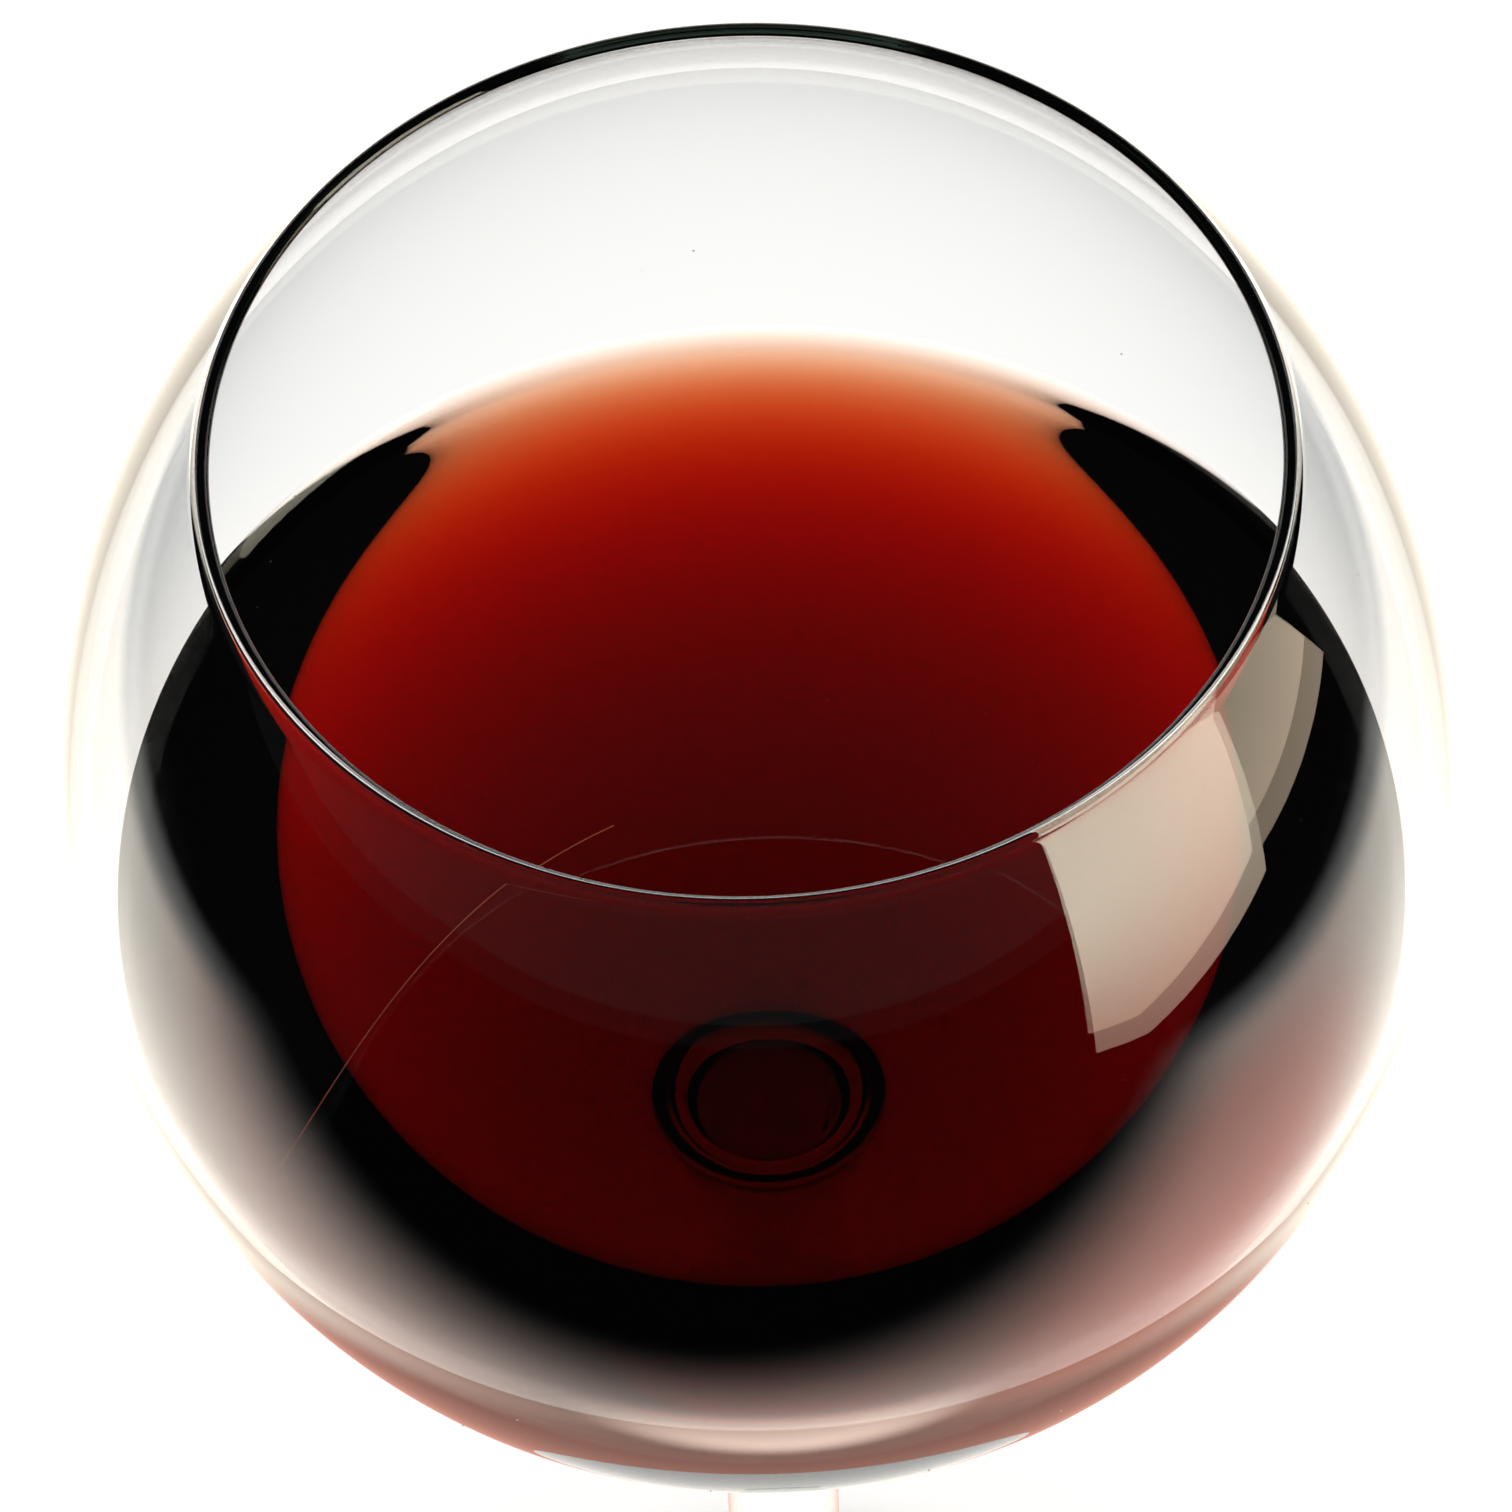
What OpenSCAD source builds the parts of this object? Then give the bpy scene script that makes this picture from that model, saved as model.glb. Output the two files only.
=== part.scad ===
// A stemmed balloon glass of red wine, in millimetres.
// The origin is the middle of the underside of the foot, with +Z up the stem.
// Glass and wine are each turned round the Z axis from one outline.

/* [Foot] */
// Diameter of the foot
foot_d = 72; // [60:1:100]
// Thickness of the foot at its edge
foot_edge = 1.8; // [1.2:0.1:3.5]
// Height at which the foot has turned into the stem
foot_rise = 16; // [10:0.5:24]

/* [Stem] */
// Diameter of the stem at its thinnest
stem_d = 9.4; // [6:0.1:12]
// Height of the underside of the bowl above the table
stem_h = 119; // [70:1:160]
// Length of the flare where the stem widens into the bowl
stem_flare = 17; // [8:0.5:24]
// Diameter at which the flare runs into the bowl
flare_d = 25; // [15:0.5:32]

/* [Bowl] */
// Outside diameter of the bowl at its widest
bowl_d = 103; // [80:1:125]
// Depth of the bowl from its widest place down to its underside
bowl_low = 57; // [42:0.5:80]
// Height of the rim above the widest place
bowl_high = 40.5; // [24:0.5:60]
// Outside diameter of the rim
rim_d = 77.5; // [60:0.5:79]
// Thickness of the rim
rim_wall = 1.1; // [0.8:0.1:2]
// Thickness of the wall at the widest place
side_wall = 1.3; // [0.9:0.1:3]
// Thickness of the glass under the middle of the wine
bowl_floor = 3; // [2:0.1:6]

/* [Wine] */
// How far the level of the wine lies below the widest place of the bowl
level_drop = 11.5; // [4:0.5:30]
// How far the wine climbs the wall at its edge
meniscus = 2.4; // [0.4:0.1:3]

/* [Hidden] */
$fn = 180;

foot_r = foot_d / 2;
stem_r = stem_d / 2;
bowl_r = bowl_d / 2;
rim_r = rim_d / 2;
widest_z = stem_h + bowl_low;
rim_z = widest_z + bowl_high;
level_z = widest_z - level_drop;

// The outside and the inside of the bowl are each an ellipse below the widest place and another above it
inner_r = bowl_r - side_wall;
inner_low = bowl_low - bowl_floor;
upper_outer = half_height(bowl_r, rim_r, bowl_high);
upper_inner = half_height(inner_r, rim_r - rim_wall, bowl_high);

// How quickly the meniscus dies away from the wall, which is a property of the wine
capillary = 2.27;
// How the points of the meniscus crowd towards its flat end
meniscus_crowding = 2.2;

// How the outlines of the foot and of the flare bend: shares of the foot's radius, of its rise,
// of the flare's length and of its diameter
foot_reach = 0.62;
foot_root = 0.28;
flare_hold = 0.62;
flare_lead = 0.26;
// How much the top of the foot climbs before it sweeps up into the stem
foot_lift = 1.6;

low_steps = 40;
high_steps = 24;
curve_steps = 20;
edge_steps = 8;

// Half height of an ellipse of radius r at its middle that has narrowed to end_r at height h
function half_height(r, end_r, h) = h / sqrt(1 - pow(end_r / r, 2));

// Point of an ellipse about the widest place: a is 0 at its lowest point and 90 at the widest place
function on_ellipse(r, h, a) = [r * sin(a), widest_z - h * cos(a)];

// Angle at which an ellipse of half height h stands z above the widest place
function angle_at(h, z) = acos(-z / h);

// Points of an ellipse from angle a to angle b
function arc(r, h, a, b, steps) = [for (i = [0:steps]) on_ellipse(r, h, a + (b - a) * i / steps)];

// Points of a smooth curve from p to s, which leaves p towards q and reaches s from r
function curve(p, q, r, s) = [
    for (i = [0:curve_steps])
        let (t = i / curve_steps, u = 1 - t)
            u * u * u * p + 3 * u * u * t * q + 3 * u * t * t * r + t * t * t * s
];

// Points of a half circle that turns over an edge from point p to point q
function rounded_edge(p, q) =
    let (middle = (p + q) / 2, half = (q - p) / 2, side = [half[1], -half[0]])
        [for (i = [1:edge_steps - 1]) middle - half * cos(180 * i / edge_steps) + side * sin(180 * i / edge_steps)];

// Where the wine ends on the wall, with its climb
contact_angle = angle_at(inner_low, meniscus - level_drop);

// The inside of the bowl that the wine wets, from its middle outwards
function wetted_wall() = arc(inner_r, inner_low, 0, contact_angle, low_steps);

// How far out from an upright wall a liquid stands rise above its level
function reach(rise) =
    let (share = 2 * capillary / rise)
        capillary * (ln(share + sqrt(share * share - 1)) - sqrt(4 - pow(rise / capillary, 2)));

// The top of the wine, from the wall to where it is flat
function wine_top() =
    let (edge_r = inner_r * sin(contact_angle))
        [
            for (i = [1:curve_steps])
                let (rise = meniscus * pow(1 - i / (curve_steps + 1), meniscus_crowding))
                    [edge_r - reach(rise) + reach(meniscus), level_z + rise]
        ];

// The outside of the foot and the stem, from the table up to where the flare meets the bowl
function foot_and_stem() =
    let (
        flare_angle = asin(flare_d / bowl_d),
        flare_end = on_ellipse(bowl_r, bowl_low, flare_angle),
        slope = [bowl_r * cos(flare_angle), bowl_low * sin(flare_angle)],
        slope_unit = slope / norm(slope),
        flare_start = [stem_r, stem_h - stem_flare],
        edge_r = foot_edge / 2,
        edge_top = [foot_r - edge_r, foot_edge]
    )
        concat(
            [[0, 0], [foot_r - edge_r, 0]],
            rounded_edge([foot_r - edge_r, 0], edge_top),
            curve(edge_top, edge_top + [-foot_reach * foot_r, foot_lift], [stem_r, foot_rise * foot_root], [stem_r, foot_rise]),
            curve(flare_start, flare_start + [0, stem_flare * flare_hold], flare_end - slope_unit * flare_d * flare_lead, flare_end)
        );

module glass() {
    outer_start = asin(flare_d / bowl_d);
    color("white", 0.35)
        rotate_extrude()
            polygon(concat(
                foot_and_stem(),
                slice(arc(bowl_r, bowl_low, outer_start, 90, low_steps)),
                slice(arc(bowl_r, upper_outer, 90, angle_at(upper_outer, bowl_high), high_steps)),
                rounded_edge([rim_r, rim_z], [rim_r - rim_wall, rim_z]),
                reverse(arc(inner_r, upper_inner, 90, angle_at(upper_inner, bowl_high), high_steps)),
                slice(reverse(arc(inner_r, inner_low, contact_angle, 90, high_steps))),
                slice(reverse(wetted_wall()))
            ));
}

module wine() {
    color("darkred")
        rotate_extrude()
            polygon(concat(wetted_wall(), wine_top(), [[0, level_z]]));
}

// A list without its first point, which is the last of the list before it
function slice(points) = [for (i = [1:len(points) - 1]) points[i]];

function reverse(points) = [for (i = [len(points) - 1:-1:0]) points[i]];

glass();
wine();
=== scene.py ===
"""A stemmed balloon glass of red wine, standing on a pale table in soft light."""
import logging
import math
from dataclasses import dataclass
from enum import Enum
from typing import Union

import bpy
from mathutils import Matrix, Vector


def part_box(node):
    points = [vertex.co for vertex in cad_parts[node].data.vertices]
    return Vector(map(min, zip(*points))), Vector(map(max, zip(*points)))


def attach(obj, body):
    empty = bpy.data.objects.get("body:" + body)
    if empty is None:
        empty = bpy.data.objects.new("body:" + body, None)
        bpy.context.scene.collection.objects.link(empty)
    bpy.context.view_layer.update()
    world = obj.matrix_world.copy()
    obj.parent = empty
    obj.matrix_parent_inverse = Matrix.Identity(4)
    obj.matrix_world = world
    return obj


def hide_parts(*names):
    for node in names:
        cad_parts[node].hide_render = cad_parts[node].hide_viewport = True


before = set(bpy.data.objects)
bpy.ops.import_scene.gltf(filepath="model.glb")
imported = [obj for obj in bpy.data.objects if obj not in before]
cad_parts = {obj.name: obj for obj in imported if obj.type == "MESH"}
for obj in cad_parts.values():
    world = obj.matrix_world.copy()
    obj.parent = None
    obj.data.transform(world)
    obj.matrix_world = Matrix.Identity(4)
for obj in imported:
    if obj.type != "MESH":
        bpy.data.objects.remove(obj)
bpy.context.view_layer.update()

LOG = logging.getLogger("glass_of_wine")
MM = 0.001
FULL_TURN = 2 * math.pi
CREASE = math.radians(35)
WELD = 1e-6
LONGEST_PATH = 28
MOST_MIRRORINGS = 12

Point = tuple[float, float]
Outline = list[Point]
Colour = tuple[float, float, float]


# ---------------------------------------------------------------- node trees


class Value:
    """A node socket that takes part in Python sums, each of which adds a Math node."""

    def __init__(self, net: "Net", socket: bpy.types.NodeSocket) -> None:
        """Keeps the socket and the net it belongs to."""
        self.net = net
        self.socket = socket

    def _sum(self, operation: str, first: "Term", second: "Term") -> "Value":
        """Adds one Math node."""
        return self.net.add("ShaderNodeMath", {"operation": operation}, {0: first, 1: second})

    def __add__(self, other: "Term") -> "Value":
        """self + other."""
        return self._sum("ADD", self, other)

    def __radd__(self, other: "Term") -> "Value":
        """other + self."""
        return self._sum("ADD", other, self)

    def __sub__(self, other: "Term") -> "Value":
        """self - other."""
        return self._sum("SUBTRACT", self, other)

    def __rsub__(self, other: "Term") -> "Value":
        """other - self."""
        return self._sum("SUBTRACT", other, self)

    def __mul__(self, other: "Term") -> "Value":
        """self * other."""
        return self._sum("MULTIPLY", self, other)

    def __rmul__(self, other: "Term") -> "Value":
        """other * self."""
        return self._sum("MULTIPLY", other, self)

    def __truediv__(self, other: "Term") -> "Value":
        """self / other."""
        return self._sum("DIVIDE", self, other)


Term = Union[Value, float, int]


class Net:
    """A node tree, with one method that adds a node, sets it and wires it."""

    def __init__(self, tree: bpy.types.NodeTree) -> None:
        """Wraps a tree and empties it."""
        self.tree = tree
        tree.nodes.clear()

    def add(
        self, kind: str, settings: dict | None = None, inputs: dict | None = None, out: int | str = 0
    ) -> Value:
        """Adds a node.

        Args:
            kind: The node's type.
            settings: Its own settings, set before its sockets.
            inputs: Values or links, by the socket's name or number.
            out: The output that the result stands for.

        Returns:
            The chosen output.
        """
        node = self.tree.nodes.new(kind)
        for name, setting in (settings or {}).items():
            setattr(node, name, setting)
        for key, value in (inputs or {}).items():
            self.feed(node.inputs[key], value)
        return Value(self, node.outputs[out]) if node.outputs else Value(self, node.inputs[0])

    def feed(self, socket: bpy.types.NodeSocket, value: object) -> None:
        """Links a value to a socket, or sets the socket to a plain value."""
        if isinstance(value, Value):
            self.tree.links.new(value.socket, socket)
        else:
            socket.default_value = value


def new_material(name: str) -> tuple[bpy.types.Material, Net]:
    """A material with an empty node tree, and the net that fills it."""
    made = bpy.data.materials.new(name)
    made.use_nodes = True
    return made, Net(made.node_tree)


def new_object(name: str, data: bpy.types.ID) -> bpy.types.Object:
    """An object at the origin, in the scene."""
    made = bpy.data.objects.new(name, data)
    bpy.context.scene.collection.objects.link(made)
    return made


# ---------------------------------------------------------------- outlines


def ellipse_arc(radius: float, half_height: float, centre_z: float, span: Point, steps: int) -> Outline:
    """Points of an ellipse whose middle is on the axis.

    Args:
        radius: Its radius at its widest.
        half_height: Its half height.
        centre_z: The height of its middle.
        span: The first and last angle in degrees, 0 at its lowest point and 90 at its widest.
        steps: How many steps to take between them.

    Returns:
        The points, as radius and height.
    """
    angles = [math.radians(span[0] + (span[1] - span[0]) * i / steps) for i in range(steps + 1)]
    return [(radius * math.sin(a), centre_z - half_height * math.cos(a)) for a in angles]


def smooth_curve(start: Point, leave: Point, arrive: Point, end: Point, steps: int = 28) -> Outline:
    """Points of a cubic curve that leaves start towards leave and reaches end from arrive."""
    points = []
    for i in range(steps + 1):
        t = i / steps
        u = 1 - t
        weights = (u * u * u, 3 * u * u * t, 3 * u * t * t, t * t * t)
        corners = (start, leave, arrive, end)
        points.append(tuple(sum(w * c[k] for w, c in zip(weights, corners)) for k in (0, 1)))
    return points


def rounded_edge(start: Point, end: Point, steps: int = 12) -> Outline:
    """Points between start and end on a half circle that bulges to the right of the way between them."""
    middle = ((start[0] + end[0]) / 2, (start[1] + end[1]) / 2)
    half = ((end[0] - start[0]) / 2, (end[1] - start[1]) / 2)
    points = []
    for i in range(1, steps):
        a = math.pi * i / steps
        points.append((
            middle[0] - half[0] * math.cos(a) + half[1] * math.sin(a),
            middle[1] - half[1] * math.cos(a) - half[0] * math.sin(a),
        ))
    return points


# ---------------------------------------------------------------- finishes


@dataclass(frozen=True)
class ClearGlass:
    """Thin fire-polished glass, faintly green through its edges."""

    ior: float = 1.5
    edge_tint: Colour = (0.72, 0.86, 0.78)
    tint_density: float = 26.0
    ripple: float = 0.02
    ripple_scale: float = 28.0
    ripple_height: float = 2 * MM

    def material(self) -> bpy.types.Material:
        """Builds the material."""
        made, net = new_material("clear_glass")
        place = net.add("ShaderNodeTexCoord", out="Object")
        wave = net.add(
            "ShaderNodeTexNoise", inputs={"Vector": place, "Scale": self.ripple_scale, "Detail": 1.0}
        )
        ripple = net.add(
            "ShaderNodeBump",
            inputs={"Strength": self.ripple, "Distance": self.ripple_height, "Height": wave},
        )
        shader = net.add(
            "ShaderNodeBsdfPrincipled",
            inputs={
                "Base Color": (1, 1, 1, 1),
                "Roughness": 0.0,
                "IOR": self.ior,
                "Transmission Weight": 1.0,
                "Normal": ripple,
            },
        )
        depth = net.add(
            "ShaderNodeVolumeAbsorption",
            inputs={"Color": (*self.edge_tint, 1), "Density": self.tint_density},
        )
        net.add("ShaderNodeOutputMaterial", inputs={"Surface": shader, "Volume": depth})
        return made


@dataclass(frozen=True)
class RedWine:
    """Still red wine: near black in depth, red and then orange where it is thin."""

    ior: float = 1.345
    absorbed: Colour = (79.0, 340.0, 520.0)
    ripple: float = 0.012
    ripple_scale: float = 45.0
    ripple_height: float = 1 * MM
    headroom: float = 1.05

    def material(self) -> bpy.types.Material:
        """Builds the material."""
        made, net = new_material("red_wine")
        place = net.add("ShaderNodeTexCoord", out="Object")
        wave = net.add(
            "ShaderNodeTexNoise", inputs={"Vector": place, "Scale": self.ripple_scale, "Detail": 2.0}
        )
        stirred = net.add(
            "ShaderNodeBump",
            inputs={"Strength": self.ripple, "Distance": self.ripple_height, "Height": wave},
        )
        shader = net.add(
            "ShaderNodeBsdfPrincipled",
            inputs={
                "Base Color": (1, 1, 1, 1),
                "Roughness": 0.0,
                "IOR": self.ior,
                "Transmission Weight": 1.0,
                "Normal": stirred,
            },
        )
        density = max(self.absorbed) * self.headroom
        passed = tuple(1 - a / density for a in self.absorbed)
        depth = net.add("ShaderNodeVolumeAbsorption", inputs={"Color": (*passed, 1), "Density": density})
        net.add("ShaderNodeOutputMaterial", inputs={"Surface": shader, "Volume": depth})
        return made


# ---------------------------------------------------------------- the lathe


def baked(holder: bpy.types.Object, name: str) -> bpy.types.Object:
    """Makes a plain mesh piece of what a holder shows.

    Args:
        holder: A curve, or a mesh with Geometry Nodes on it. It is dropped.
        name: The piece's name.

    Returns:
        The piece, in the scene.
    """
    graph = bpy.context.evaluated_depsgraph_get()
    mesh = bpy.data.meshes.new_from_object(holder.evaluated_get(graph), depsgraph=graph)
    holder.modifiers.clear()
    bpy.data.objects.remove(holder)
    mesh.name = name
    return new_object(name, mesh)


class Lathe:
    """Turns an outline round the Z axis with Geometry Nodes."""

    def __init__(self, segments: int = 256) -> None:
        """Builds the node tree once for all the pieces it turns."""
        self.segments = segments
        self.tree = bpy.data.node_groups.new("lathe", "GeometryNodeTree")
        face = self.tree.interface
        face.new_socket("Outline", in_out="INPUT", socket_type="NodeSocketGeometry")
        segments = face.new_socket("Segments", in_out="INPUT", socket_type="NodeSocketInt")
        finish = face.new_socket("Finish", in_out="INPUT", socket_type="NodeSocketMaterial")
        self.segment_input = segments.identifier
        self.finish_input = finish.identifier
        face.new_socket("Turned", in_out="OUTPUT", socket_type="NodeSocketGeometry")
        self._wire(Net(self.tree))

    def _wire(self, net: Net) -> None:
        """Wires the tree: a grid whose rows are laid round the axis at the outline's radii and heights."""
        given = net.tree.nodes.new("NodeGroupInput")
        outline, segments, finish = (Value(net, given.outputs[i]) for i in range(3))
        count = net.add("GeometryNodeAttributeDomainSize", {"component": "MESH"}, {"Geometry": outline})
        columns = segments + 1
        grid = net.add("GeometryNodeMeshGrid", inputs={"Vertices X": count, "Vertices Y": columns})
        index = net.add("GeometryNodeInputIndex")
        row = net.add("ShaderNodeMath", {"operation": "FLOOR"}, {0: (index + 0.5) / columns})
        angle = (index - row * columns) * FULL_TURN / segments
        spot = net.add(
            "GeometryNodeSampleIndex",
            {"data_type": "FLOAT_VECTOR"},
            {"Geometry": outline, "Value": net.add("GeometryNodeInputPosition"), "Index": row},
        )
        parts = net.add("ShaderNodeSeparateXYZ", inputs={0: spot})
        radius, height = parts, Value(net, parts.socket.node.outputs["Z"])
        turned = net.add(
            "ShaderNodeCombineXYZ",
            inputs={
                "X": radius * net.add("ShaderNodeMath", {"operation": "COSINE"}, {0: angle}),
                "Y": radius * net.add("ShaderNodeMath", {"operation": "SINE"}, {0: angle}),
                "Z": height,
            },
        )
        placed = net.add("GeometryNodeSetPosition", inputs={"Geometry": grid, "Position": turned})
        welded = net.add("GeometryNodeMergeByDistance", inputs={"Geometry": placed, "Distance": WELD})
        outwards = net.add("GeometryNodeFlipFaces", inputs={"Mesh": welded})
        bend = net.add("GeometryNodeInputMeshEdgeAngle")
        crease = net.add(
            "FunctionNodeCompare", {"data_type": "FLOAT", "operation": "GREATER_THAN"}, {0: bend, 1: CREASE}
        )
        rounded = net.add("GeometryNodeSetShadeSmooth", {"domain": "FACE"}, {"Geometry": outwards})
        smooth = net.add(
            "GeometryNodeSetShadeSmooth",
            {"domain": "EDGE"},
            {"Geometry": rounded, "Selection": crease, "Shade Smooth": False},
        )
        real = net.add("GeometryNodeRealizeInstances", inputs={"Geometry": smooth})
        dressed = net.add("GeometryNodeSetMaterial", inputs={"Geometry": real, "Material": finish})
        net.add("NodeGroupOutput", inputs={0: dressed})

    def turn(self, name: str, outline: Outline, finish: bpy.types.Material) -> bpy.types.Object:
        """Turns one piece.

        Args:
            name: The piece's name.
            outline: Its outline as radius and height, from axis to axis.
            finish: Its material.

        Returns:
            The piece, as a plain mesh in place.
        """
        line = bpy.data.meshes.new(f"{name}_outline")
        edges = [(i, i + 1) for i in range(len(outline) - 1)]
        line.from_pydata([(r, 0, z) for r, z in outline], edges, [])
        holder = new_object(f"{name}_holder", line)
        lathe = holder.modifiers.new("lathe", "NODES")
        lathe.node_group = self.tree
        lathe[self.segment_input] = self.segments
        lathe[self.finish_input] = finish
        return baked(holder, name)


# ---------------------------------------------------------------- the glass and its wine


@dataclass
class BalloonGlass:
    """The stemmed glass, turned from one outline. Sizes are in metres.

    How the foot and the flare bend is given in shares: foot_reach of the foot's radius, foot_root of its
    rise, flare_hold of the flare's length and flare_lead of its radius.
    """

    foot_r: float = 36 * MM
    foot_edge: float = 1.8 * MM
    foot_rise: float = 16 * MM
    stem_r: float = 4.7 * MM
    stem_h: float = 119 * MM
    stem_flare: float = 17 * MM
    flare_r: float = 12.5 * MM
    bowl_low: float = 57 * MM
    bowl_high: float = 40.5 * MM
    rim_r: float = 38.75 * MM
    rim_wall: float = 1.1 * MM
    side_wall: float = 1.3 * MM
    bowl_floor: float = 3 * MM
    foot_reach: float = 0.62
    foot_lift: float = 1.6 * MM
    foot_root: float = 0.28
    flare_hold: float = 0.62
    flare_lead: float = 0.52
    foot_steps: int = 12
    stem_steps: int = 24
    low_steps: int = 72
    high_steps: int = 44
    inside_steps: int = 80

    def __post_init__(self) -> None:
        """Works out what follows from the frame and the sizes."""
        low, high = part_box("glass")
        self.bowl_r = (high[0] - low[0]) / 2
        self.widest_z = self.stem_h + self.bowl_low
        self.rim_z = self.widest_z + self.bowl_high
        self.inner_r = self.bowl_r - self.side_wall
        self.inner_low = self.bowl_low - self.bowl_floor

    @staticmethod
    def half_height(radius: float, end_radius: float, height: float) -> float:
        """Half height of an ellipse of that radius that has narrowed to end_radius at height."""
        return height / math.sqrt(1 - (end_radius / radius) ** 2)

    def inner_wall_angle(self, z: float) -> float:
        """Angle on the lower inner wall, in degrees, that lies at height z."""
        return math.degrees(math.acos((self.widest_z - z) / self.inner_low))

    def foot_and_stem(self) -> Outline:
        """The foot and the stem, from the middle of the underside up to the bowl."""
        edge_x = self.foot_r - self.foot_edge / 2
        edge_low, edge_top = (edge_x, 0.0), (edge_x, self.foot_edge)
        a = math.asin(self.flare_r / self.bowl_r)
        join = (self.flare_r, self.widest_z - self.bowl_low * math.cos(a))
        slope = Vector((self.bowl_r * math.cos(a), self.bowl_low * math.sin(a))).normalized()
        lead = self.flare_r * self.flare_lead
        arrive = (join[0] - slope[0] * lead, join[1] - slope[1] * lead)
        flare_z = self.stem_h - self.stem_flare
        foot_top = smooth_curve(
            edge_top,
            (edge_x - self.foot_reach * self.foot_r, self.foot_edge + self.foot_lift),
            (self.stem_r, self.foot_rise * self.foot_root),
            (self.stem_r, self.foot_rise),
        )
        run = flare_z - self.foot_rise
        stem = [
            (self.stem_r, self.foot_rise + run * i / self.stem_steps) for i in range(1, self.stem_steps)
        ]
        flare = smooth_curve(
            (self.stem_r, flare_z),
            (self.stem_r, flare_z + self.flare_hold * self.stem_flare),
            arrive,
            join,
        )
        under = [(edge_x * i / self.foot_steps, 0.0) for i in range(self.foot_steps + 1)]
        return under + rounded_edge(edge_low, edge_top) + foot_top + stem + flare

    def outline(self) -> Outline:
        """The whole outline, from the axis under the foot to the axis inside the bowl."""
        start = math.degrees(math.asin(self.flare_r / self.bowl_r))
        upper = self.half_height(self.bowl_r, self.rim_r, self.bowl_high)
        lip_r = self.rim_r - self.rim_wall
        upper_inner = self.half_height(self.inner_r, lip_r, self.bowl_high)
        top = math.degrees(math.acos(-self.bowl_high / upper))
        top_inner = math.degrees(math.acos(-self.bowl_high / upper_inner))
        outside_low = ellipse_arc(self.bowl_r, self.bowl_low, self.widest_z, (start, 90), self.low_steps)
        outside_high = ellipse_arc(self.bowl_r, upper, self.widest_z, (90, top), self.high_steps)
        lip = rounded_edge((self.rim_r, self.rim_z), (lip_r, self.rim_z))
        high_span = (top_inner, 90)
        inside_high = ellipse_arc(self.inner_r, upper_inner, self.widest_z, high_span, self.high_steps)
        inside_low = ellipse_arc(self.inner_r, self.inner_low, self.widest_z, (90, 0), self.inside_steps)
        return (
            self.foot_and_stem() + outside_low[1:] + outside_high[1:] + lip
            + inside_high + inside_low[1:]
        )

    def build(self, lathe: Lathe, finish: bpy.types.Material) -> bpy.types.Object:
        """Turns the glass, hangs it on the root body and hides the CAD glass part."""
        piece = lathe.turn("wine_glass", self.outline(), finish)
        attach(piece, "root")
        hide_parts("glass")
        return piece


@dataclass
class Wine:
    """The wine, which reaches just into the wall of its glass. Sizes are in metres."""

    glass: BalloonGlass
    level_drop: float = 11.5 * MM
    climb: float = 2.4 * MM
    into_wall: float = 0.2 * MM
    taper: float = 3 * MM
    capillary: float = 2.27 * MM
    crowding: float = 2.2
    rise_steps: int = 32
    flat_steps: int = 12
    side_steps: int = 110

    def reach(self, rise: float) -> float:
        """How far from an upright wall a liquid stands rise above its level."""
        share = 2 * self.capillary / rise
        return self.capillary * (math.acosh(share) - math.sqrt(4 - (rise / self.capillary) ** 2))

    def surface(self) -> Outline:
        """The top of the wine, from the wall to the axis."""
        level = self.glass.widest_z - self.level_drop
        angle = math.radians(self.glass.inner_wall_angle(level + self.climb))
        wall_r = self.glass.inner_r * math.sin(angle)
        points = []
        for i in range(self.rise_steps + 1):
            rise = self.climb * (1 - i / (self.rise_steps + 1)) ** self.crowding
            points.append((wall_r - self.reach(rise) + self.reach(self.climb), level + rise))
        last = points[-1][0]
        flat = [(last * (1 - i / self.flat_steps), level) for i in range(1, self.flat_steps + 1)]
        return points + flat

    def skin(self, top_z: float) -> Outline:
        """The side of the wine inside the wall, which it leaves in a thin edge at height top_z."""
        glass = self.glass
        angle = glass.inner_wall_angle(top_z)
        points = []
        wall = ellipse_arc(glass.inner_r, glass.inner_low, glass.widest_z, (0, angle), self.side_steps)
        for radius, z in wall:
            into = self.into_wall * min(1.0, (top_z - z) / self.taper)
            down = (glass.widest_z - z) / glass.inner_low
            points.append((radius * (1 + into / glass.inner_r), z - into * down))
        return points[:-1]

    def outline(self) -> Outline:
        """The whole outline, from the lowest point to the middle of the surface."""
        top = self.surface()
        return self.skin(top[0][1]) + top

    def build(self, lathe: Lathe, finish: bpy.types.Material) -> bpy.types.Object:
        """Turns the wine, hangs it on the root body and hides the CAD wine part."""
        piece = lathe.turn("red_wine", self.outline(), finish)
        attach(piece, "root")
        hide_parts("wine")
        return piece


SPECK_GRAIN = 300.0


class Speck(Enum):
    """What a small stray thing on the glass is made of, as its pale and its dark tone."""

    DUST = ((0.62, 0.60, 0.55), (0.32, 0.30, 0.27))
    HAIR = ((0.30, 0.050, 0.018), (0.16, 0.022, 0.010))

    def material(self) -> bpy.types.Material:
        """Builds the material, whose tone changes from place to place."""
        made, net = new_material(self.name.lower())
        place = net.add("ShaderNodeTexCoord", out="Object")
        change = net.add("ShaderNodeTexNoise", inputs={"Vector": place, "Scale": SPECK_GRAIN, "Detail": 2.0})
        pale, dark = self.value
        tone = net.add(
            "ShaderNodeMix", {"data_type": "RGBA"}, {0: change, 6: (*pale, 1), 7: (*dark, 1)}, out=2
        )
        shader = net.add("ShaderNodeBsdfPrincipled", inputs={"Base Color": tone, "Roughness": 0.8})
        net.add("ShaderNodeOutputMaterial", inputs={"Surface": shader})
        return made


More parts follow.
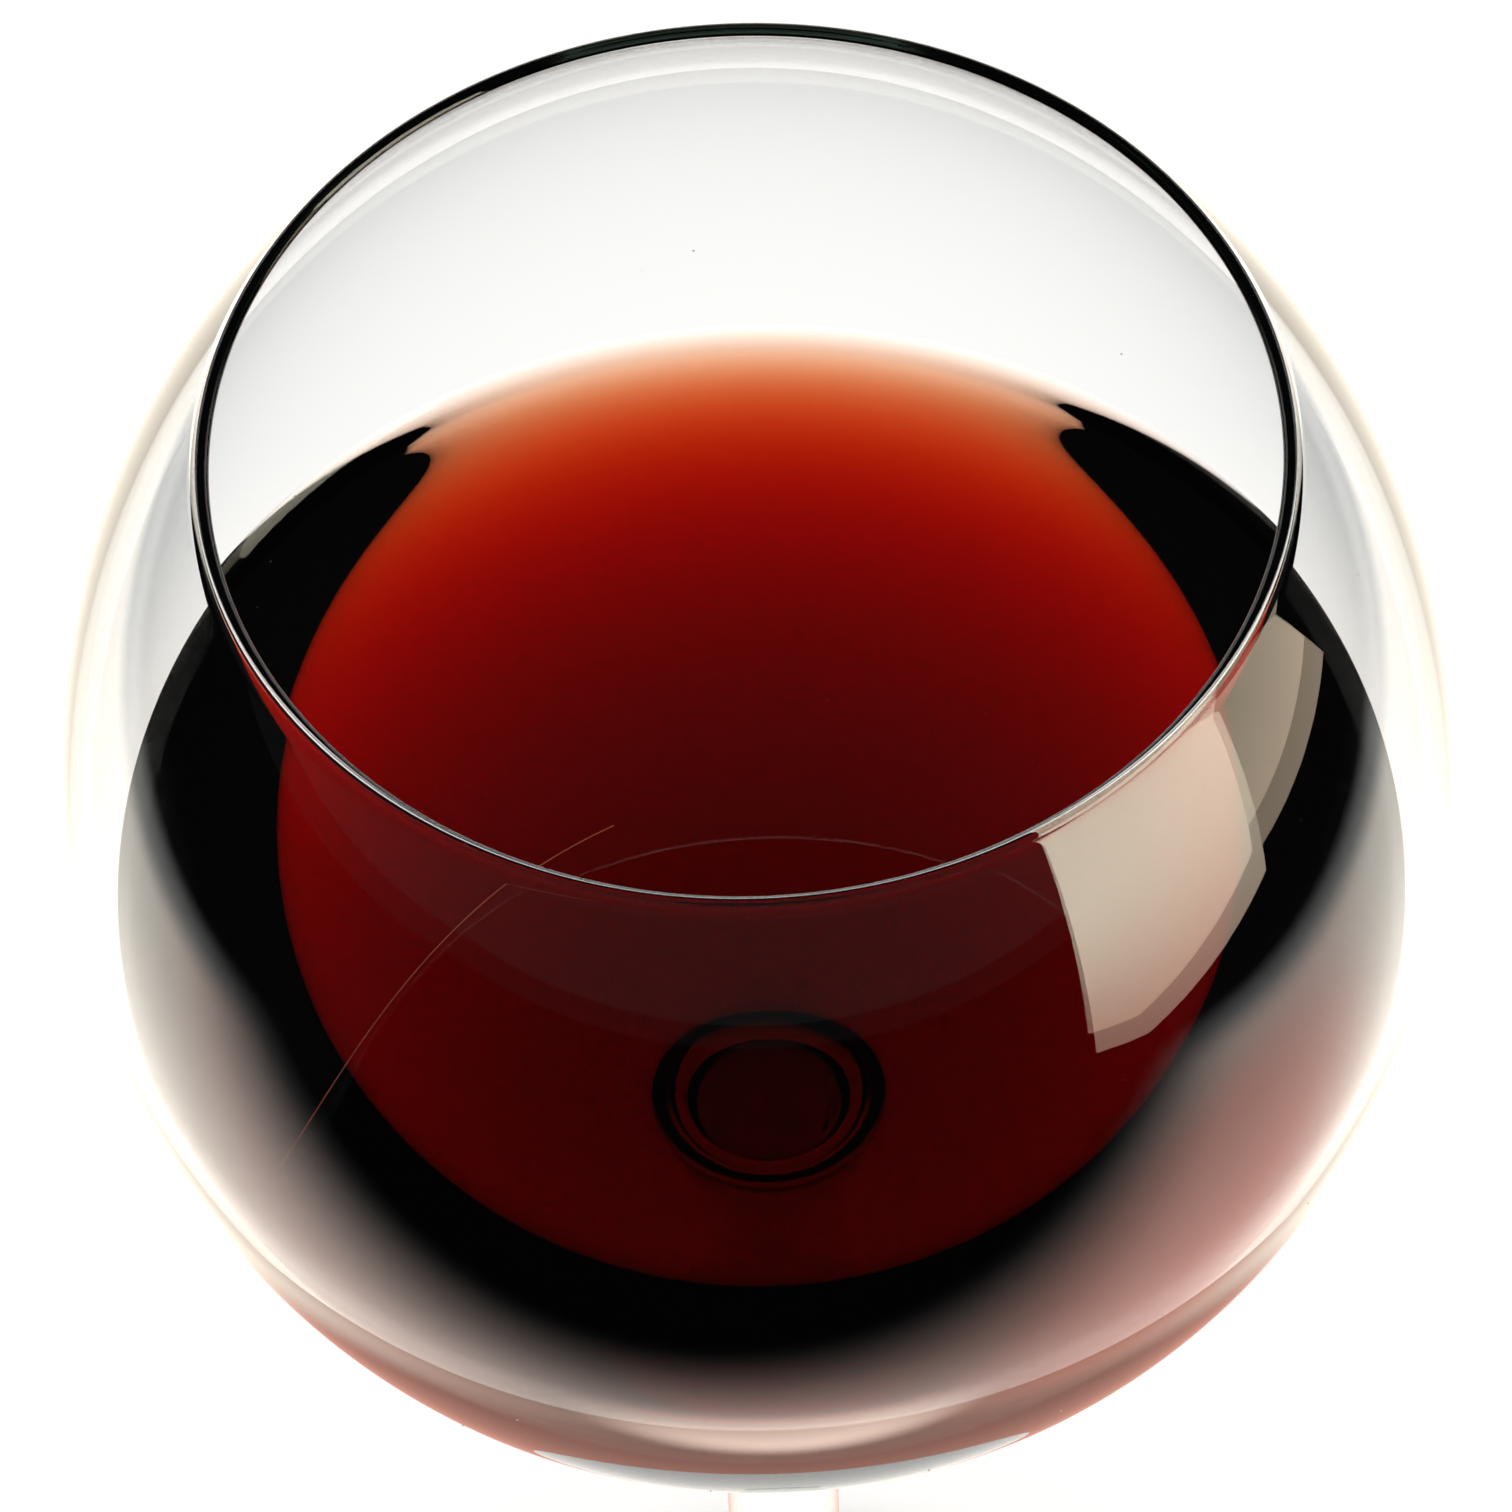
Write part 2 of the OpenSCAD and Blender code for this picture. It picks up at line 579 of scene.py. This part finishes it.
@dataclass
class Dust:
    """Specks of dust that cling to the outside of the bowl. Sizes are in metres.

    They lie between the angles of span on the lower bowl, and sizes is the range of their scale.
    """

    glass: BalloonGlass
    per_square_metre: float = 3600.0
    radius: float = 0.07 * MM
    sizes: tuple[float, float] = (0.35, 1.3)
    span: tuple[float, float] = (28, 90)
    span_steps: int = 40
    seed: int = 7

    def _tree(self) -> tuple[bpy.types.NodeTree, str, str, str]:
        """Builds the node tree and names its inputs."""
        tree = bpy.data.node_groups.new("dust", "GeometryNodeTree")
        face = tree.interface
        face.new_socket("Ground", in_out="INPUT", socket_type="NodeSocketGeometry")
        density = face.new_socket("Density", in_out="INPUT", socket_type="NodeSocketFloat").identifier
        seed = face.new_socket("Seed", in_out="INPUT", socket_type="NodeSocketInt").identifier
        finish = face.new_socket("Finish", in_out="INPUT", socket_type="NodeSocketMaterial").identifier
        face.new_socket("Specks", in_out="OUTPUT", socket_type="NodeSocketGeometry")
        net = Net(tree)
        given = tree.nodes.new("NodeGroupInput")
        ground, dense, chance, cover = (Value(net, given.outputs[i]) for i in range(4))
        points = net.add(
            "GeometryNodeDistributePointsOnFaces",
            inputs={"Mesh": ground, "Density": dense, "Seed": chance},
        )
        ball = net.add("GeometryNodeMeshIcoSphere", inputs={"Radius": self.radius, "Subdivisions": 2})
        sizes = net.add(
            "FunctionNodeRandomValue",
            {"data_type": "FLOAT"},
            {"Min": self.sizes[0], "Max": self.sizes[1], "Seed": chance},
            out=1,
        )
        specks = net.add(
            "GeometryNodeInstanceOnPoints",
            inputs={"Points": points, "Instance": ball, "Scale": sizes},
        )
        real = net.add("GeometryNodeRealizeInstances", inputs={"Geometry": specks})
        dressed = net.add("GeometryNodeSetMaterial", inputs={"Geometry": real, "Material": cover})
        net.add("NodeGroupOutput", inputs={0: dressed})
        return tree, density, seed, finish

    def build(self, lathe: Lathe, finish: bpy.types.Material) -> bpy.types.Object:
        """Scatters the specks over the bowl.

        Args:
            lathe: What turns the skin that they are scattered over.
            finish: Their material.

        Returns:
            All the specks as one piece.
        """
        glass = self.glass
        skin = ellipse_arc(glass.bowl_r, glass.bowl_low, glass.widest_z, self.span, self.span_steps)
        holder = lathe.turn("dusty_skin", skin, finish)
        tree, density, seed, cover = self._tree()
        scatter = holder.modifiers.new("dust", "NODES")
        scatter.node_group = tree
        scatter[density] = self.per_square_metre
        scatter[seed] = self.seed
        scatter[cover] = finish
        piece = baked(holder, "dust")
        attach(piece, "root")
        return piece


@dataclass
class Hair:
    """A fine hair that floats on the wine. Sizes are in metres, and afloat is a share of its thickness."""

    level: float
    thickness: float = 0.1 * MM
    afloat: float = 0.3
    start: Point = (-11 * MM, 4 * MM)
    leave: Point = (-25 * MM, -3 * MM)
    arrive: Point = (-31 * MM, -16 * MM)
    end: Point = (-36 * MM, -25 * MM)

    def build(self, finish: bpy.types.Material) -> bpy.types.Object:
        """Lays the hair on the wine, in one slack bend.

        Args:
            finish: Its material.

        Returns:
            The hair, as a thin tube.
        """
        course = smooth_curve(self.start, self.leave, self.arrive, self.end)
        line = bpy.data.curves.new("hair", "CURVE")
        line.dimensions = "3D"
        line.bevel_depth = self.thickness / 2
        line.bevel_resolution = 2
        line.use_fill_caps = True
        spline = line.splines.new("POLY")
        spline.points.add(len(course) - 1)
        for point, (x, y) in zip(spline.points, course):
            point.co = (x, y, self.level + self.thickness * self.afloat, 1)
        line.materials.append(finish)
        piece = baked(new_object("hair_line", line), "hair")
        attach(piece, "root")
        return piece


# ---------------------------------------------------------------- the table, the light and the camera


@dataclass(frozen=True)
class Panel:
    """One upright panel of soft light to the right of the glass, seen in reflections only.

    Its foot and its head each run from a near y to a far one, and both climb by climb on the way.
    Its light goes from foot_light to head_light over blend. It shows in rays that were mirrored once and
    have met fewer surfaces than deepest.
    """

    name: str
    x: float
    foot: tuple[float, float]
    head: tuple[float, float]
    base_z: float
    climb: float
    height: float
    foot_light: Colour
    head_light: Colour
    blend: float = 0.25
    deepest: float = 3.5

    def _material(self) -> bpy.types.Material:
        """Light that shows in the two reflections of one wall. To all else the panel is not there."""
        made, net = new_material(self.name)
        depth = net.add("ShaderNodeLightPath", out="Ray Depth")
        mirrorings = net.add("ShaderNodeLightPath", out="Glossy Depth")
        near = net.add("ShaderNodeMath", {"operation": "LESS_THAN"}, {0: depth, 1: self.deepest})
        once = net.add("ShaderNodeMath", {"operation": "COMPARE"}, {0: mirrorings, 1: 1.0, 2: 0.25})
        place = net.add("ShaderNodeTexCoord", out="Object")
        split = net.add("ShaderNodeSeparateXYZ", inputs={0: place}).socket.node.outputs
        risen = net.add(
            "ShaderNodeMapRange",
            {"interpolation_type": "SMOOTHSTEP"},
            {"Value": Value(net, split["Z"]), "From Min": self.base_z, "From Max": self.base_z + self.blend},
        )
        light = net.add(
            "ShaderNodeMix",
            {"data_type": "RGBA"},
            {0: risen, 6: (*self.foot_light, 1), 7: (*self.head_light, 1)},
            out=2,
        )
        glow = net.add("ShaderNodeEmission", inputs={"Color": light, "Strength": 1.0})
        nothing = net.add("ShaderNodeBsdfTransparent")
        shown = net.add("ShaderNodeMixShader", inputs={0: near * once, 1: nothing, 2: glow})
        net.add("ShaderNodeOutputMaterial", inputs={"Surface": shown})
        return made

    def build(self) -> None:
        """Stands the panel in its place."""
        foot_near = (self.x, self.foot[0], self.base_z)
        foot_far = (self.x, self.foot[1], self.base_z + self.climb)
        head_far = (self.x, self.head[1], self.base_z + self.climb + self.height)
        head_near = (self.x, self.head[0], self.base_z + self.height)
        mesh = bpy.data.meshes.new(self.name)
        mesh.from_pydata([foot_near, foot_far, head_far, head_near], [], [(0, 1, 2, 3)])
        mesh.materials.append(self._material())
        piece = new_object(self.name, mesh)
        piece.visible_camera = False
        piece.visible_diffuse = False
        piece.visible_shadow = False


@dataclass(frozen=True)
class Spot:
    """A soft round or oval patch of painted light or shade, of another brightness, on the table."""

    at: tuple[float, float]
    reach: tuple[float, float]
    colour: Colour
    full: float = 0.0


@dataclass
class Studio:
    """A pale table in front of a bright wall, with soft panels of light on the right.

    What the table shows in the glass is painted light: a painted reflection where the glass mirrors it, and
    a painted glow where it is seen through the glass. What the glass mirrors, and what comes through it
    after a mirroring inside, ends where the lit part of the table does. What is seen straight through it is
    bright on all sides.
    """

    table_half: float = 3.0
    table_drop: float = 0.2 * MM
    # painted light: the mirrored table is bright only in this patch round the glass, though the table itself
    # is even
    lit_side: tuple[float, float] = (0.305, 0.365)
    lit_front: tuple[float, float] = (0.05, 0.185)
    lit_skew: float = 0.2
    front_to_back: tuple[float, float] = (-0.06, 0.05)
    wall_ahead: tuple[float, float] = (0.3, 0.6)
    wall_top: tuple[float, float] = (0.3, 0.5)
    table_colour: Colour = (0.93, 0.925, 0.915)
    sky_colour: Colour = (1, 0.995, 0.985)
    sky: float = 1.22
    dark_room: float = 0.03
    dim_room: float = 0.06
    # painted glow: the brightness the table shows through the glass, with no shadow of the glass on it
    seen_through: Colour = (1.10, 1.09, 1.07)
    # painted reflection: the warm colours the table shows in the glass, brighter than its own lit white
    mirrored_front: Colour = (1.95, 1.27, 1.03)
    mirrored_back: Colour = (2.15, 1.95, 1.65)
    # painted reflection: a red caustic of light through the wine, laid on the mirrored table
    painted_wine_caustic: Spot = Spot((0.17, -0.10), (0.17, 0.15), (2.2, 0.66, 0.43), 0.3)
    # painted shadow of the bowl and wine, reddish, on the mirrored table
    shadow: Spot = Spot((0.0, 0.0), (0.095, 0.095), (0.95, 0.46, 0.36), 0.72)
    # painted bright caustic in front of the glass, on the mirrored table
    bright: Spot = Spot((0.0, -0.089), (0.068, 0.027), (5.4, 4.0, 3.3), 0.3)
    # painted glow: a brighter patch behind the glass, in the table seen through it
    glow: Spot = Spot((0.0, 0.07), (0.3, 0.1), (1.44, 1.35, 1.27), 0.4)

    @staticmethod
    def _fade(net: Net, along: Term, span: tuple[float, float]) -> Value:
        """Goes softly from 1 to 0 as along passes over the span."""
        return net.add(
            "ShaderNodeMapRange",
            {"interpolation_type": "SMOOTHSTEP"},
            {"Value": along, "From Min": span[0], "From Max": span[1], "To Min": 1.0, "To Max": 0.0},
        )

    @staticmethod
    def _distance(net: Net, x: Term, y: Term) -> Value:
        """How far x and y lie from nought."""
        return net.add("ShaderNodeMath", {"operation": "SQRT"}, {0: x * x + y * y})

    @staticmethod
    def _tinted(net: Net, factor: Term, first: Colour | Value, second: Colour) -> Value:
        """A colour between first and second."""
        under = first if isinstance(first, Value) else (*first, 1)
        return net.add("ShaderNodeMix", {"data_type": "RGBA"}, {0: factor, 6: under, 7: (*second, 1)}, out=2)

    @staticmethod
    def _straight(net: Net) -> Value:
        """1 for what is seen through the glass with no mirroring on the way, and 0 for all else."""
        through = net.add("ShaderNodeLightPath", out="Is Transmission Ray")
        mirrorings = net.add("ShaderNodeLightPath", out="Glossy Depth")
        return through * net.add("ShaderNodeMath", {"operation": "LESS_THAN"}, {0: mirrorings, 1: 0.5})

    def _spot(self, net: Net, x: Value, y: Value, under: Colour | Value, spot: Spot) -> Value:
        """Lays a spot of painted light or shade over the colour under it."""
        across = (x - spot.at[0]) / spot.reach[0]
        along = (y - spot.at[1]) / spot.reach[1]
        share = self._fade(net, self._distance(net, across, along), (spot.full, 1.0))
        return self._tinted(net, share, under, spot.colour)

    def _mirrored(self, net: Net, x: Value, y: Value) -> Value:
        """What the glass mirrors of the table, as a painted reflection: warm in front, with a painted red
        caustic of light through the wine, a painted shadow under the bowl and a painted bright caustic in
        front of it.
        """
        front = self._fade(net, y, self.front_to_back)
        colour = self._tinted(net, front, self.mirrored_back, self.mirrored_front)
        for spot in (self.painted_wine_caustic, self.shadow, self.bright):
            colour = self._spot(net, x, y, colour, spot)
        return colour

    def table(self) -> bpy.types.Object:
        """The table: plain and pale to the eye, and in what the glass shows of it a painted reflection and a
        painted glow, bright round the glass.
        """
        mesh = bpy.data.meshes.new("table")
        h, z = self.table_half, -self.table_drop
        mesh.from_pydata([(-h, -h, z), (h, -h, z), (h, h, z), (-h, h, z)], [], [(0, 1, 2, 3)])
        piece = new_object("table", mesh)
        made, net = new_material("table_white_and_painted_light")
        glossy = net.add("ShaderNodeLightPath", out="Is Glossy Ray")
        through = net.add("ShaderNodeLightPath", out="Is Transmission Ray")
        place = net.add("ShaderNodeTexCoord", out="Object")
        split = net.add("ShaderNodeSeparateXYZ", inputs={0: place}).socket.node.outputs
        x, y = Value(net, split["X"]), Value(net, split["Y"])
        side = net.add("ShaderNodeMath", {"operation": "ABSOLUTE"}, {0: x})
        ahead = 0 - y - x * self.lit_skew
        # painted pool of light: outside this patch the mirrored table goes dark
        lit = self._fade(net, side, self.lit_side) * self._fade(net, ahead, self.lit_front)
        lit = net.add("ShaderNodeMath", {"operation": "MAXIMUM"}, {0: lit, 1: self._straight(net)})
        # painted glow of the table seen through the glass
        ground = self._spot(net, x, y, self.seen_through, self.glow)
        seen = net.add(
            "ShaderNodeMix",
            {"data_type": "RGBA"},
            {0: through, 6: self._mirrored(net, x, y), 7: ground},
            out=2,
        )
        shown = net.add("ShaderNodeVectorMath", {"operation": "SCALE"}, {0: seen, "Scale": lit})
        # the painted reflection and painted glow are emission, which glossy rays see instead of the pale
        # diffuse table
        glow = net.add("ShaderNodeEmission", inputs={"Color": shown, "Strength": 1.0})
        pale = net.add("ShaderNodeBsdfDiffuse", inputs={"Color": (*self.table_colour, 1)})
        mixed = net.add("ShaderNodeMixShader", inputs={0: glossy, 1: pale, 2: glow})
        net.add("ShaderNodeOutputMaterial", inputs={"Surface": mixed})
        mesh.materials.append(made)
        return piece

    def room(self) -> None:
        """An even pale room. In what the glass shows, it is dark but for the bright wall behind."""
        world = bpy.data.worlds.new("room")
        world.use_nodes = True
        bpy.context.scene.world = world
        net = Net(world.node_tree)
        glossy = net.add("ShaderNodeLightPath", out="Is Glossy Ray")
        way = net.add("ShaderNodeTexCoord", out="Generated")
        split = net.add("ShaderNodeSeparateXYZ", inputs={0: way}).socket.node.outputs
        behind = 1 - self._fade(net, Value(net, split["Y"]), self.wall_ahead)
        wall = behind * self._fade(net, Value(net, split["Z"]), self.wall_top)
        through = net.add("ShaderNodeLightPath", out="Is Transmission Ray")
        dimmed = glossy * (1 - self.dark_room - through * (self.dim_room - self.dark_room))
        dimmed = dimmed * (1 - self._straight(net))
        strength = self.sky * (1 - dimmed * (1 - wall))
        sky = (*self.sky_colour, 1)
        shade = net.add("ShaderNodeBackground", inputs={"Color": sky, "Strength": strength})
        net.add("ShaderNodeOutputWorld", inputs={"Surface": shade})

    def panels(self) -> None:
        """The bright near panel and the dimmer far one."""
        Panel(
            name="near_panel",
            x=0.43,
            foot=(-0.424, -0.10),
            head=(-0.404, -0.005),
            base_z=-0.032,
            climb=0.097,
            height=0.45,
            foot_light=(3.3, 2.0, 1.5),
            head_light=(6.4, 6.0, 4.7),
        ).build()
        Panel(
            name="far_panel",
            x=0.44,
            foot=(-0.20, 0.095),
            head=(-0.14, -0.01),
            base_z=0.085,
            climb=0.0,
            height=0.30,
            foot_light=(2.9, 2.3, 1.7),
            head_light=(1.7, 1.6, 1.15),
        ).build()

    def build(self) -> None:
        """Sets up the table, the room and the light."""
        self.table()
        self.room()
        self.panels()


@dataclass
class Viewpoint:
    """The camera, which looks down into the bowl."""

    elevation: float = 55.3
    distance: float = 0.6
    roll: float = -2.08
    half_width: float = 0.0935
    aim_x: float = -0.1 * MM
    aim_up: float = 1.63 * MM
    sensor: float = 36.0
    clip: tuple[float, float] = (0.01, 20.0)

    def build(self, centre: Vector) -> None:
        """Places the camera.

        Args:
            centre: The middle of the bowl.
        """
        e = math.radians(self.elevation)
        back = Vector((0, -math.cos(e), math.sin(e)))
        turn = back.to_track_quat("Z", "Y").to_matrix() @ Matrix.Rotation(math.radians(self.roll), 3, "Z")
        camera = bpy.data.cameras.new("camera")
        camera.sensor_width = self.sensor
        camera.lens = self.sensor / 2 / self.half_width
        camera.clip_start, camera.clip_end = self.clip
        holder = new_object("camera", camera)
        holder.matrix_world = turn.to_4x4()
        holder.location = centre + back * self.distance + turn @ Vector((self.aim_x, self.aim_up, 0))
        bpy.context.scene.camera = holder


def main() -> None:
    """Builds the glass, its wine and the studio around them."""
    logging.basicConfig(level=logging.INFO, format="%(name)s: %(message)s")
    lathe = Lathe()
    glass = BalloonGlass()
    wine = Wine(glass)
    pieces = [
        glass.build(lathe, ClearGlass().material()),
        wine.build(lathe, RedWine().material()),
        Dust(glass).build(lathe, Speck.DUST.material()),
        Hair(glass.widest_z - wine.level_drop).build(Speck.HAIR.material()),
    ]
    for piece in pieces:
        LOG.info("%s: %d faces", piece.name, len(piece.data.polygons))
    Studio().build()
    Viewpoint().build(Vector((0, 0, glass.widest_z)))
    scene = bpy.context.scene
    scene.view_settings.view_transform = "Standard"
    scene.cycles.max_bounces = LONGEST_PATH
    scene.cycles.transmission_bounces = LONGEST_PATH
    scene.cycles.glossy_bounces = MOST_MIRRORINGS


if __name__ == "__main__":
    main()
